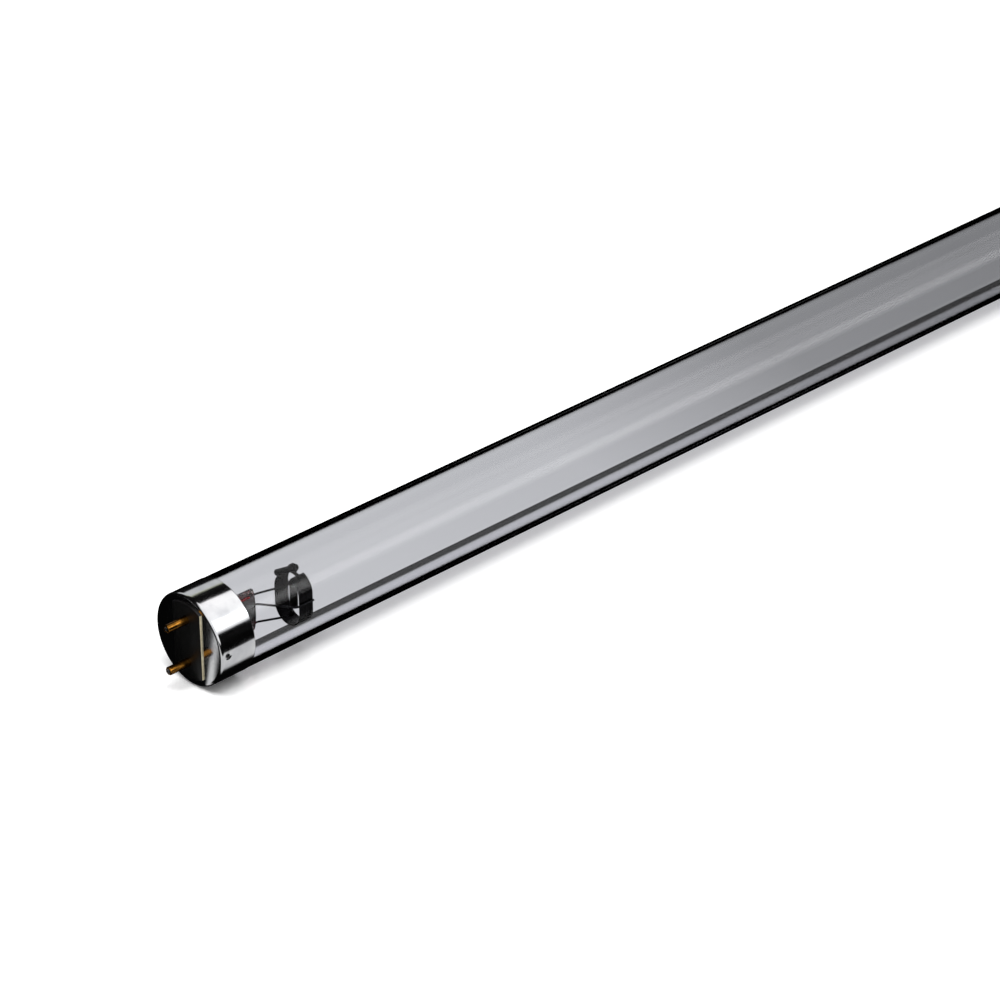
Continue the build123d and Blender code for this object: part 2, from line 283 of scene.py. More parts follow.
def glass_tube_material():
    """Soft clear glass, drawn tube. The thin wall barely bends what lies behind it, so it is built
    as a film: clear, with painted shade that turns it black where the eye meets the wall edge on, and faintly
    mirror-like."""
    material, tree = new_material("clear_drawn_glass")
    edge = section_edge(tree)
    body = linear(colours().glass)
    # glass tint in the middle, then painted shade that darkens the film to black towards the section's edge
    tint_and_edge_shade_stops = ((0.0, body), (0.496, body), (0.597, grey(0.86)), (0.650, grey(0.55)), (0.695, grey(0.0)))
    tint_and_painted_edge_shade = ramp(tree, edge, 0, tint_and_edge_shade_stops)
    path = node(tree, "LightPath")
    shade = mix_colours(tree, (path, "Is Shadow Ray"), (tint_and_painted_edge_shade, "Color"), grey(0.5), "MULTIPLY")
    clear = node(tree, "BsdfTransparent", Color=(shade, 2))
    streaks = object_noise(tree, 9.0, 2.0, (0.06, 1, 1))
    roughness = ramp(tree, streaks, "Fac", ((0.3, grey(0.02)), (0.8, grey(0.06))))
    shine = node(tree, "BsdfAnisotropic", {"Color": grey(1.0)}, Roughness=(roughness, "Color"))
    shares = ((0.0, grey(0.0105)), (0.30, grey(0.009)), (0.57, grey(0.005)), (0.685, grey(0.0)))
    share = ramp(tree, edge, 0, shares)
    mixed = mix_shaders(tree, (share, "Color"), clear, shine)
    node(tree, "OutputMaterial", Surface=(mixed, 0))
    return material


def stem_glass_material():
    """Pressed lead glass: thick, so it bends light, with a slightly wavy skin. Round the sealed wires
    it has taken up red oxide."""
    material, tree = new_material("pressed_stem_glass")
    place = node(tree, "TexCoord")
    split = node(tree, "SeparateXYZ", Vector=(place, "Object"))
    level = calculate(tree, "ABSOLUTE", (split, "Z"))
    above_wire = calculate(tree, "SUBTRACT", (level, 0), PRESS_WIRE_UP * MM)
    off_wire = calculate(tree, "ABSOLUTE", (above_wire, 0))
    near_wire = spread(tree, (off_wire, 0), 1.9 * MM, 0.5 * MM)
    reach = calculate(tree, "ABSOLUTE", (split, "X"))
    stain_start, stain_full = 15.6, 16.8
    in_press = spread(tree, (reach, 0), abs(NEAR_FACE) - stain_start * MM, abs(NEAR_FACE) - stain_full * MM)
    stain = calculate(tree, "MULTIPLY", (near_wire, 0), (in_press, 0))
    tone = mix_colours(tree, (stain, 0), linear("EEF1F1"), linear("F08A95"))
    waves = object_noise(tree, 1.6, 3.0)
    glass = {"IOR": 1.52, "Transmission Weight": 1.0}
    cover(tree, glass, (tone, 2), waves, ((0.35, 0.03), (0.75, 0.14)), 0.35, 0.3)
    return material


def cover(tree, settings, tone, marks, roughness, strength, height):
    """Main shader of a material. Marks drive its roughness, from stops of (place, value), and its relief,
    whose height is in millimetres. The tone is (node, output)."""
    rough = ramp(tree, marks, "Fac", [(place, grey(value)) for place, value in roughness])
    relief = {"Strength": strength, "Distance": height * MM}
    bump = node(tree, "Bump", relief, Height=(marks, "Fac"))
    links = {"Base_Color": tone, "Roughness": (rough, "Color"), "Normal": (bump, 0)}
    shader = node(tree, "BsdfPrincipled", settings, **links)
    node(tree, "OutputMaterial", Surface=(shader, 0))


def metal_material(name, colour, dark, roughness, grain_mm, strength, stretch=(1, 1, 1)):
    """Bare metal: its colour darkens in patches, and fine marks break up the shine."""
    material, tree = new_material(name)
    marks = object_noise(tree, grain_mm, 6.0, stretch)
    patches = object_noise(tree, grain_mm * 14, 3.0)
    tone = ramp(tree, patches, "Fac", ((0.35, linear(dark)), (0.62, linear(colour))))
    stops = zip((0.3, 0.75), roughness)
    cover(tree, {"Metallic": 1.0}, (tone, "Color"), marks, stops, strength, 0.05)
    return material


def dull_material(name, colour, second, roughness, grain_mm, strength):
    """Opaque material that isn't metal: two tones of the same stuff and a fine grain."""
    material, tree = new_material(name)
    grain = object_noise(tree, grain_mm, 5.0)
    tone = ramp(tree, grain, "Fac", ((0.35, linear(second)), (0.65, linear(colour))))
    cover(tree, {}, (tone, "Color"), grain, zip((0.3, 0.7), roughness), strength, 0.1)
    return material


def make_materials():
    """All finishes of the lamp, by name. After the two tones come the roughness, the grain in millimetres,
    the relief's strength, and for some metals the stretch of their marks."""
    tones = colours()
    skirt_marks, pin_marks, strip_marks = (0.08, 1, 1), (0.2, 1, 1), (1, 1, 0.2)
    metal, dull = metal_material, dull_material
    return {
        "glass": glass_tube_material(),
        "stem_glass": stem_glass_material(),
        # deep-drawn aluminium, left bright; draw marks run along the skirt
        "aluminium": metal(
            "bright_drawn_aluminium", tones.aluminium, "C4C5C8", (0.07, 0.16), 0.5, 0.06, skirt_marks
        ),
        # moulded phenolic, black with a low gloss
        "bakelite": dull("moulded_black_bakelite", tones.bakelite, "050505", (0.3, 0.45), 0.25, 0.12),
        # pale colour on the strip's long side faces, a painted highlight for the light these edges catch
        "painted_edge_highlight": dull("bakelite_edge_painted_highlight", "E4DCC0", "B5A987", (0.35, 0.5), 0.4, 0.1),
        # drawn brass tube, a little tarnished
        "brass": metal("drawn_brass", tones.brass, "3A250E", (0.12, 0.28), 0.25, 0.1, pin_marks),
        # soft solder closing a pin's tip
        "solder": metal("soft_solder", "B9BBBE", "8E9094", (0.22, 0.4), 0.3, 0.3),
        # nickel-plated iron wire
        "nickel": metal("nickel_plated_wire", tones.nickel, "1A1A1C", (0.2, 0.36), 0.15, 0.15),
        # copper-clad wire, red where the glass wets it
        "copper": dull("copper_clad_seal_wire", tones.copper, "8C1620", (0.25, 0.45), 0.3, 0.2),
        # tungsten under a baked oxide coat, dark and rough
        "tungsten": metal("coated_tungsten", "282624", "141312", (0.45, 0.7), 0.06, 0.5),
        # rolled nickel-iron strip, darkened by firing
        "steel": metal("fired_steel_strip", "161517", "0A0A0B", (0.22, 0.4), 0.35, 0.15, strip_marks),
        # drawn capsule of nickel iron, blackened
        "capsule": metal("blackened_capsule", "131214", "080809", (0.25, 0.42), 0.3, 0.15),
        # capping cement, baked resin and chalk
        "cement": dull("capping_cement", "B9A88A", "94815F", (0.8, 0.95), 0.4, 0.6),
    }


# Modelling helpers. Every piece is modelled at the near end and turned half round for the far end.


def deselect():
    """Leaves edit mode with nothing selected."""
    if bpy.context.object and bpy.context.object.mode != "OBJECT":
        bpy.ops.object.mode_set(mode="OBJECT")
    bpy.ops.object.select_all(action="DESELECT")


def pick(obj):
    """Makes one object the only selected and active one."""
    deselect()
    obj.select_set(True)
    bpy.context.view_layer.objects.active = obj


def apply_transform():
    """Puts the selected object's place, turn and size into its mesh, and returns the object."""
    bpy.ops.object.transform_apply(location=True, rotation=True, scale=True)
    return bpy.context.object


def settle(obj, name, smooth_angle=35.0):
    """Names the piece, puts its place into its mesh and smooths it by angle."""
    pick(obj)
    obj.name = name
    obj.data.name = name
    apply_transform()
    bpy.ops.object.shade_smooth_by_angle(angle=math.radians(smooth_angle))
    return obj


def world(across, up, depth):
    """Point of the near end, from millimetres to the frame."""
    return Vector((NEAR_FACE + depth * MM, across * MM, up * MM))


def one_vertex(point):
    """New mesh object in edit mode with a single vertex at a point, drawn on from there."""
    deselect()
    bpy.ops.mesh.primitive_plane_add(size=MM, location=point)
    bpy.ops.object.mode_set(mode="EDIT")
    bpy.ops.mesh.select_all(action="SELECT")
    bpy.ops.mesh.merge(type="CENTER")
    bpy.context.tool_settings.mesh_select_mode = (True, False, False)
    return bpy.context.object


def leave_edit():
    """Turns all normals outwards and leaves edit mode."""
    bpy.ops.mesh.select_all(action="SELECT")
    bpy.ops.mesh.normals_make_consistent(inside=False)
    bpy.ops.object.mode_set(mode="OBJECT")


def line_up(obj):
    """Sorts a mesh by distance from the corner, so that cuts and welds come out the same each run."""
    cursor = bpy.context.scene.cursor
    pick(obj)
    bpy.ops.object.mode_set(mode="EDIT")
    bpy.ops.mesh.select_all(action="SELECT")
    cursor.location = SORT_CORNER
    bpy.ops.mesh.sort_elements(type="CURSOR_DISTANCE", elements={"VERT", "EDGE", "FACE"})
    cursor.location = (0, 0, 0)
    bpy.ops.object.mode_set(mode="OBJECT")


def extrude(depth):
    """Extrudes what is selected along the lamp, by millimetres."""
    bpy.ops.mesh.extrude_region_move(TRANSFORM_OT_translate={"value": (depth * MM, 0, 0)})


def draw(points):
    """Edge line through points of the frame, as a new object left in edit mode, all selected."""
    obj = one_vertex(points[0])
    for start, end in zip(points, points[1:]):
        bpy.ops.mesh.extrude_vertices_move(TRANSFORM_OT_translate={"value": end - start})
    bpy.ops.mesh.select_all(action="SELECT")
    return obj


def turned(name, profile, steps=128, centre=(0.0, 0.0), closed=False, smooth_angle=35.0):
    """Body spun about an axis along the lamp. The profile is (depth, radius) pairs in mm; centre is the
    axis's (across, up)."""
    across, up = centre
    points = [world(across, up + radius, depth) for depth, radius in profile]
    if closed:
        points.append(points[0])
    obj = draw(points)
    bpy.ops.mesh.spin(steps=steps, angle=2 * math.pi, center=world(across, up, 0), axis=(1, 0, 0))
    bpy.ops.mesh.select_all(action="SELECT")
    bpy.ops.mesh.remove_doubles(threshold=0.0005 * MM)
    bpy.ops.mesh.dissolve_degenerate(threshold=0.0002 * MM)
    leave_edit()
    line_up(obj)
    return settle(obj, name, smooth_angle)


def arc(centre, radius, start, end, count):
    """Points of an arc as (x, y); angles in degrees."""
    angles = [math.radians(start + (end - start) * i / count) for i in range(count + 1)]
    return [(centre[0] + radius * math.cos(a), centre[1] + radius * math.sin(a)) for a in angles]


def between(start, end, share):
    """Value at a share of the way from start to end."""
    return start + (end - start) * share


def soft(share):
    """Share of the way that starts and ends gently."""
    return share * share * (3 - 2 * share)


def ease(start, end, count=8):
    """Smooth S from one (depth, radius) to another."""
    steps = [i / count for i in range(count + 1)]
    return [(between(start[0], end[0], t), between(start[1], end[1], soft(t))) for t in steps]


def add_modifier(obj, kind, **settings):
    """Adds a modifier and applies it."""
    pick(obj)
    modifier = obj.modifiers.new(kind.title(), kind)
    for name, value in settings.items():
        setattr(modifier, name, value)
    bpy.ops.object.modifier_apply(modifier=modifier.name)


def round_edges(obj, width, angle):
    """Bevels the edges that turn by more than an angle, in degrees."""
    limit = {"limit_method": "ANGLE", "angle_limit": math.radians(angle)}
    add_modifier(obj, "BEVEL", width=width * MM, segments=3, **limit)


def carve(obj, cutter, operation="DIFFERENCE"):
    """Cuts, joins or intersects with a helper body, which is then deleted."""
    add_modifier(obj, "BOOLEAN", object=cutter, operation=operation, solver="EXACT")
    bpy.data.objects.remove(cutter)
    line_up(obj)


def weld(obj, gap):
    """Closes slivers that a cut or a bevel left; gap is in millimetres."""
    line_up(obj)
    bpy.ops.object.mode_set(mode="EDIT")
    bpy.ops.mesh.select_all(action="SELECT")
    bpy.ops.mesh.remove_doubles(threshold=gap * MM)
    bpy.ops.mesh.dissolve_degenerate(threshold=0.1 * gap * MM)
    leave_edit()


def rod(place, radius, length, vertices, turn):
    """Plain rod about a point of the frame, with its lengths in millimetres."""
    deselect()
    bpy.ops.mesh.primitive_cylinder_add(
        vertices=vertices, radius=radius * MM, depth=length * MM, location=place, rotation=turn
    )
    return apply_transform()


def cylinder(across, up, start, end, radius, vertices=64):
    """Plain rod along the lamp between two depths, used to start or cut other bodies."""
    place = world(across, up, (start + end) / 2)
    return rod(place, radius, end - start, vertices, (0, math.pi / 2, 0))


def block(across, up, depth, size):
    """Plain block, used to start or cut other bodies. Size is (across, up, depth)."""
    deselect()
    bpy.ops.mesh.primitive_cube_add(size=1, location=world(across, up, depth))
    bpy.context.object.scale = (size[2] * MM, size[0] * MM, size[1] * MM)
    return apply_transform()


def wire(name, points, radius, sides=16, bend=0.8):
    """Round wire through points given as (across, up, depth), rounded at its bends."""
    draw([world(*p) for p in points])
    if len(points) > 2 and bend:
        bpy.ops.mesh.bevel(offset=bend * MM, segments=5, affect="VERTICES")
    bpy.ops.object.mode_set(mode="OBJECT")
    bpy.ops.object.convert(target="CURVE")
    path = bpy.context.object
    path.data.bevel_depth = radius * MM
    path.data.bevel_resolution = max(1, sides // 4 - 1)
    path.data.use_fill_caps = True
    bpy.ops.object.convert(target="MESH")
    return settle(bpy.context.object, name, 50.0)


def finish_piece(obj, material, slot, *nodes):
    """Gives a piece its finish and its body, and hides the solids it stands for; slot is not used."""
    obj.data.materials.clear()
    obj.data.materials.append(MATERIALS[material])
    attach(obj, "root")
    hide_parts(*nodes)
    return obj


def both_ends(obj, stem_name, material, slot):
    """Finishes a near piece and its copy at the far end, which is turned half round."""
    pick(obj)
    bpy.ops.object.duplicate()
    far = bpy.context.object
    far.matrix_world = Matrix.Rotation(math.pi, 4, "Z") @ far.matrix_world
    apply_transform()
    for piece, end in ((obj, "near"), (far, "far")):
        piece.name = f"{end}_{stem_name}_part"
        piece.data.name = piece.name
        finish_piece(piece, material, slot, f"{end}_{stem_name}")
    return obj, far


MATERIALS = {}


class LAMP_OT_finishes(bpy.types.Operator):
    """Materials of the lamp, from its colours"""

    bl_idname = "lamp.finishes"
    bl_label = "Finishes"

    def execute(self, context):
        MATERIALS.update(make_materials())
        return {"FINISHED"}


class LAMP_OT_envelope(bpy.types.Operator):
    """Clear tube, drawn in to a neck under each cap"""

    bl_idname = "lamp.envelope"
    bl_label = "Glass Tube"

    def execute(self, context):
        s = sizes()
        neck = s.tube_radius - s.neck_step
        middle = -mm(NEAR_FACE)
        half = [(s.rim_depth, neck), (s.shoulder_end - 0.5, neck)]
        half += ease((s.shoulder_end, neck), (s.shoulder_start, s.tube_radius))
        outside = half + [(2 * middle - depth, radius) for depth, radius in reversed(half)]
        inside = [(depth, radius - s.tube_wall) for depth, radius in reversed(outside)]
        obj = turned("glass_envelope_part", outside + inside, 160, closed=True, smooth_angle=40.0)
        finish_piece(obj, "glass", "envelope_glass", "glass_envelope")
        return {"FINISHED"}


class LAMP_OT_caps(bpy.types.Operator):
    """Drawn aluminium cap with a slotted end wall and staking dimples, at each end"""

    bl_idname = "lamp.caps"
    bl_label = "Caps"

    def execute(self, context):
        s = sizes()
        edge, wall = s.cap_edge, s.cap_wall
        corner = arc((edge, s.cap_radius - edge), edge, 180, 90, 8)
        inner_corner = arc((edge, s.cap_radius - edge), edge - wall, 90, 180, 5)
        rim = 0.35
        profile = [(0, 0), (0, s.strip_reach * 0.5)] + corner
        profile += [(depth, s.cap_radius) for depth in (1.0, 1.6, 2.3, 3.0, 3.7)]
        profile += arc((s.cap_length - rim, s.cap_radius - rim), rim, 90, 25, 6)
        profile += [(s.cap_length, s.cap_radius - wall)]
        profile += inner_corner + [(wall, 0)]
        obj = turned("cap_shell_part", profile, 160)
        slot = cylinder(0, 0, -1, wall + 0.3, s.strip_reach, 96)
        carve(slot, block(0, 0, 0, (s.strip_width, 3 * s.strip_reach, 6)), "INTERSECT")
        carve(obj, slot)
        self.break_slot_edge(obj)
        for side in (-1, 1):
            carve(obj, self.dimple(side))
            carve(obj, self.pierce(side))
        weld(obj, 0.004)
        settle(obj, "cap_shell_part", 20.0)
        for face in obj.data.polygons:
            lies_flat = abs(face.normal.x) >= 0.9999
            face.use_smooth = not lies_flat
        both_ends(obj, "cap_shell", "aluminium", "cap_aluminium")
        return {"FINISHED"}

    def break_slot_edge(self, obj):
        """Rounds the punched slot's front edge."""
        s = sizes()
        half = s.strip_width / 2
        pick(obj)
        bpy.ops.object.mode_set(mode="EDIT")
        bpy.context.tool_settings.mesh_select_mode = (False, True, False)
        bpy.ops.mesh.select_all(action="DESELECT")
        bpy.ops.object.mode_set(mode="OBJECT")

        def on_edge(vertex):
            depth, across, up = mm(vertex.co.x - NEAR_FACE), mm(vertex.co.y), mm(vertex.co.z)
            side = abs(abs(across) - half) < 0.01
            end = abs(math.hypot(across, up) - s.strip_reach) < 0.02 and abs(across) < half
            return abs(depth) < 0.01 and (side or end)

        for edge in obj.data.edges:
            edge.select = all(on_edge(obj.data.vertices[i]) for i in edge.vertices)
        bpy.ops.object.mode_set(mode="EDIT")
        bpy.ops.mesh.bevel(offset=0.16 * MM, segments=3, clamp_overlap=True)
        bpy.ops.object.mode_set(mode="OBJECT")
        weld(obj, 0.03)

    def dimple(self, side):
        """Punch that leaves a round dent in the skirt."""
        ball = (DENT.radius**2 + DENT.sink**2) / (2 * DENT.sink)
        deselect()
        bpy.ops.mesh.primitive_uv_sphere_add(
            segments=96,
            ring_count=64,
            radius=ball * MM,
            location=world(side * (sizes().cap_radius - DENT.sink + ball), 0, DENT.setback),
        )
        return apply_transform()

    def pierce(self, side):
        """Narrow drift that opens the dent's bottom."""
        place = world(side * sizes().cap_radius, 0, DENT.setback)
        return rod(place, DENT.hole, 2, 48, (math.pi / 2, 0, 0))


class LAMP_OT_insulators(bpy.types.Operator):
    """Black moulded strip in the cap's slot, on its plate behind the end wall"""

    bl_idname = "lamp.insulators"
    bl_label = "Insulators"

    def execute(self, context):
        s = sizes()
        clearance, plate_thick, lap = 0.05, 1.2, 1.4
        reach = s.strip_reach - clearance
        width = s.strip_width - 2 * clearance
        strip = cylinder(0, 0, -s.strip_proud, s.cap_wall + clearance, reach, 96)
        carve(strip, block(0, 0, 0, (width, 3 * reach, 6)), "INTERSECT")
        round_edges(strip, 0.22, 40)
        plate_radius = s.cap_radius - s.cap_wall - 2 * clearance
        plate = cylinder(0, 0, s.cap_wall, s.cap_wall + plate_thick, plate_radius, 96)
        carve(plate, block(0, 0, 0, (s.strip_width + 2 * lap, 3 * plate_radius, 8)), "INTERSECT")
        carve(strip, plate, "UNION")
        for side in (-1, 1):
            up = side * s.pin_spacing / 2
            carve(strip, turned("collar", self.collar(), 48, (0, up)), "UNION")
            carve(strip, cylinder(0, up, -3, 4, s.pin_radius, 64))
        settle(strip, "cap_insulator_part", 35.0)
        for made in both_ends(strip, "cap_insulator", "bakelite", "cap_bakelite"):
            self.paint_edge_highlight(made)
        return {"FINISHED"}

    def paint_edge_highlight(self, piece):
        """Paints the long side faces that stand out of the cap pale, as a painted highlight."""
        piece.data.materials.append(MATERIALS["painted_edge_highlight"])
        half = sizes().strip_width / 2
        for face in piece.data.polygons:
            at_side = half - 0.3 < abs(mm(face.center.y)) < half + 0.01
            if at_side and abs(face.normal.y) > 0.9:
                face.material_index = 1

    def collar(self):
        """Low moulded ring round a pin, flush with the strip's face."""
        s = sizes()
        outer = s.pin_radius + 0.75
        face = -s.strip_proud + 0.02
        return [(face, 0), (face, outer - 0.1), (face + 0.1, outer), (0.2, outer), (0.2, 0)]


class LAMP_OT_pins(bpy.types.Operator):
    """Brass contact pins with a soldered tip"""

    bl_idname = "lamp.pins"
    bl_label = "Contact Pins"

    def execute(self, context):
        s = sizes()
        front, back = -s.pin_length, extent("near_pin_upper").end
        flange, bore, corner = 1.9, 0.62, 0.32
        lead_bore = s.lead_radius + 0.02
        profile = [(front + 0.18, 0), (front + 0.12, bore * 0.6), (front + 0.03, bore)]
        profile += arc((front + corner, s.pin_radius - corner), corner, 180, 90, 6)
        profile += [(back - 0.75, s.pin_radius), (back - 0.7, flange - 0.08), (back - 0.6, flange)]
        profile += [(back, flange), (back, lead_bore), (back - 1.0, lead_bore), (back - 1.0, 0)]
        for level, side in (("upper", 1), ("lower", -1)):
            pin = turned("pin_part", profile, 48, (0, side * s.pin_spacing / 2))
            for made in both_ends(pin, f"pin_{level}", "brass", "pin_brass"):
                self.solder(made, bore)
        return {"FINISHED"}

    def solder(self, pin, bore):
        """Gives the faces inside the tip's bore the solder finish."""
        s = sizes()
        pin.data.materials.append(MATERIALS["solder"])
        near = pin.name.startswith("near")
        outwards = -1 if near else 1
        tip = abs(NEAR_FACE) + (s.pin_length - 0.25) * MM
        up = (1 if "upper" in pin.name else -1) * s.pin_spacing / 2 * MM
        for face in pin.data.polygons:
            off_axis = math.hypot(face.center.y, face.center.z - up)
            if face.center.x * outwards > tip and off_axis < bore * MM:
                face.material_index = 1


class LAMP_OT_stems(bpy.types.Operator):
    """Flared stem tube pressed flat round the wires, with its exhaust tube"""

    bl_idname = "lamp.stems"
    bl_label = "Stems"

    def execute(self, context):
        stem = extent("near_stem")
        obj = self.outside(stem.start, stem.end)
        carve(obj, self.inside(stem.start))
        settle(obj, "stem_part", 40.0)
        both_ends(obj, "stem", "stem_glass", "stem_glass")
        self.exhaust()
        return {"FINISHED"}

    def outside(self, start, end):
        """Solid of the stem: rings of many sides, from the flare's rim to the press's end."""
        s = sizes()
        rim = s.tube_radius - s.neck_step - s.tube_wall
        tube, wall, bend = 4.8, 0.9, 2.2
        across, up, corner = 1.5, 6.6, 0.35
        flare = [(start, rim), (start + wall, rim)]
        flare += arc((start + wall + bend, tube + bend), bend, 180, 270, 8)
        sections = [(depth, radius, radius) for depth, radius in flare + [(FLATTEN_DEPTH, tube)]]
        sections += self.flatten(6.0, 12, tube, across, up)
        sections += [(end - 0.5, across, up), (end, across - corner, up - corner)]
        return self.loft(sections, 64)

    def inside(self, start):
        """Solid of the stem's hollow, which ends in a flat slot."""
        bore, deep = 3.9, 13.9
        mouth, throat = bore + 1.4, bore + 0.3
        sections = [(start - 1, mouth, mouth), (start, mouth, mouth), (start + 1.4, throat, throat)]
        sections += [(start + 2.4, bore, bore), (FLATTEN_DEPTH, bore, bore)]
        sections += self.flatten(deep - FLATTEN_DEPTH, 6, bore, 1.7, 4.85)
        return self.loft(sections, 64)

    def flatten(self, length, steps, radius, across, up):
        """Sections from the round tube to a flat oval."""
        shares = [i / steps for i in range(1, steps + 1)]
        wide, tall = [[between(radius, half, soft(t)) for t in shares] for half in (across, up)]
        return list(zip([FLATTEN_DEPTH + length * t for t in shares], wide, tall))

    def loft(self, sections, sides):
        """Body through ovals given as (depth, half across, half up): a circle extruded and resized."""
        deselect()
        depth, wide, tall = sections[0]
        bpy.ops.mesh.primitive_circle_add(
            vertices=sides,
            radius=MM,
            fill_type="NGON",
            location=world(0, 0, depth),
            rotation=(0, math.pi / 2, 0),
        )
        bpy.ops.object.transform_apply(location=False, rotation=True, scale=True)
        bpy.ops.object.mode_set(mode="EDIT")
        bpy.ops.mesh.select_all(action="SELECT")
        bpy.ops.transform.resize(value=(1, wide, tall), center_override=world(0, 0, depth))
        for (d0, w0, t0), (d1, w1, t1) in zip(sections, sections[1:]):
            extrude(d1 - d0)
            bpy.ops.transform.resize(value=(1, w1 / w0, t1 / t0), center_override=world(0, 0, d1))
        leave_edit()
        return apply_transform()

    def exhaust(self):
        """Narrow tube whose end was melted to a point."""
        solid = extent("near_exhaust_tube")
        tip, back = solid.start, solid.end
        outer, bore = 1.5, 1.0
        profile = [(tip, 0), (tip + 0.25, 0.45), (tip + 0.9, 0.8), (tip + 1.9, outer), (back, outer)]
        profile += [(back, bore), (tip + 2.1, bore), (tip + 1.4, 0.4), (tip + 1.2, 0)]
        tube = turned("exhaust_tube_part", profile, 48)
        both_ends(tube, "exhaust_tube", "stem_glass", "stem_glass")


class LAMP_OT_wires(bpy.types.Operator):
    """Leads, seal wires and the ring's support, as round bent wire"""

    bl_idname = "lamp.wires"
    bl_label = "Wires"

    def execute(self, context):
        for level, side in (("upper", 1), ("lower", -1)):
            self.leads(level, side, sizes().lead_radius)
        self.support(sizes().lead_radius)
        return {"FINISHED"}

    def leads(self, level, side, r):
        """One pin's outer lead, its seal wire, and the inner lead that grips the coil."""
        pin_up, stem_up, press_up = side * 6.35, side * STEM_WIRE_UP, side * PRESS_WIRE_UP
        outer, inner = extent(f"near_outer_lead_{level}"), extent(f"near_inner_lead_{level}")
        pin_bend, stem_bend, press_bend = 2.6, 4.6, 13.3
        points = [(0, pin_up, outer.start), (0, pin_up, pin_bend), (0, stem_up, stem_bend)]
        points += [(0, stem_up, FLATTEN_DEPTH), (0, press_up, press_bend), (0, press_up, outer.end)]
        lead = wire("outer", points, r)
        both_ends(lead, f"outer_lead_{level}", "nickel", "lead_wire")
        sealed = self.seal(press_up, outer.end, inner.start, r)
        both_ends(sealed, f"seal_wire_{level}", "copper", "seal_copper")
        crimp_up, crimp_depth, run = COIL.up + side * 4.7, inner.end - 0.75, 2.7
        points = [(0, press_up, inner.start), (0, press_up, BEND_DEPTH)]
        points += [(COIL.across, crimp_up, crimp_depth - run), (COIL.across, crimp_up, crimp_depth)]
        inner_lead = wire("inner", points, r)
        carve(inner_lead, self.crimp(crimp_up, crimp_depth, inner.end), "UNION")
        settle(inner_lead, "inner", 40.0)
        both_ends(inner_lead, f"inner_lead_{level}", "nickel", "lead_wire")

    def seal(self, up, start, end, r):
        """Seal wire with its copper skin a little blistered in the glass."""
        profile = [(start, 0), (start, r * 0.7)]
        count = 12
        for i in range(count + 1):
            t = i / count
            profile.append((between(start, end, t), r * (0.86 + 0.12 * math.sin(9.5 * t) ** 2)))
        profile += [(end, 0)]
        return turned("seal", profile, 20, (0, up), smooth_angle=60.0)

    def crimp(self, up, depth, end):
        """Lead's flattened end folded into a hook round the coil's leg."""
        clasp = block(COIL.across, up, (depth + end) / 2 - 0.37, (1.1, 1.3, end - depth + 0.75))
        add_modifier(clasp, "BEVEL", width=0.3 * MM, segments=4, limit_method="NONE")
        return clasp

    def support(self, r):
        """Wire from the press to the guard ring's side."""
        solid = extent("near_guard_support")
        side, foot, root_up = solid.left + r, solid.bottom + r, 1.2
        points = [(0, root_up, solid.start), (0, root_up, BEND_DEPTH)]
        points += [(side, foot, RING.start - 1.2), (side, foot, solid.end)]
        both_ends(wire("support", points, r), "guard_support", "nickel", "lead_wire")


class LAMP_OT_filaments(bpy.types.Operator):
    """Coiled cathode between its two crimps"""

    bl_idname = "lamp.filaments"
    bl_label = "Cathode Coils"

    def execute(self, context):
        thin, radius, coil_half = 0.2, 0.94, 3.3
        leg = COIL.tall / 2 - 0.02
        axis_depth = COIL.end - radius - thin - 0.05
        turns, per_turn = sizes().coil_turns, 14
        points = [(COIL.across, COIL.up - leg, axis_depth - radius)]
        for i in range(turns * per_turn + 1):
            turn = 2 * math.pi * i / per_turn
            up = COIL.up - coil_half + 2 * coil_half * i / (turns * per_turn)
            points.append((COIL.across + radius * math.sin(turn), up, axis_depth - radius * math.cos(turn)))
        points.append((COIL.across, COIL.up + leg, axis_depth - radius))
        coil = wire("filament", points, thin, 12, 0)
        both_ends(coil, "filament", "tungsten", "coil_tungsten")
        return {"FINISHED"}


class LAMP_OT_guard_rings(bpy.types.Operator):
    """Strip bent to an oval round the coil, open at the top, with rolled edges"""

    bl_idname = "lamp.guard_rings"
    bl_label = "Guard Rings"

    def execute(self, context):
        half_wide = RING.wide / 2
        strip, gap = 0.3, 3.0
        radius = half_wide - strip / 2
        top, bottom = RING.bottom + RING_TALL - half_wide, RING.bottom + half_wide
        open_angle = math.degrees(math.asin(gap / 2 / radius))
        line = arc((RING.across, top), radius, 90 + open_angle, 180, 20)
        line += arc((RING.across, bottom), radius, 180, 360, 40)
        line += arc((RING.across, top), radius, 0, 90 - open_angle, 20)
        obj = draw([world(across, up, RING.start) for across, up in line])
        rows = 8
        for _ in range(rows):
            extrude((RING.end - RING.start) / rows)
        leave_edit()
        add_modifier(obj, "SOLIDIFY", thickness=strip * MM, offset=0)
        round_edges(obj, 0.1, 60)
        settle(obj, "guard", 40.0)
        both_ends(obj, "guard_ring", "steel", "guard_steel")
        return {"FINISHED"}


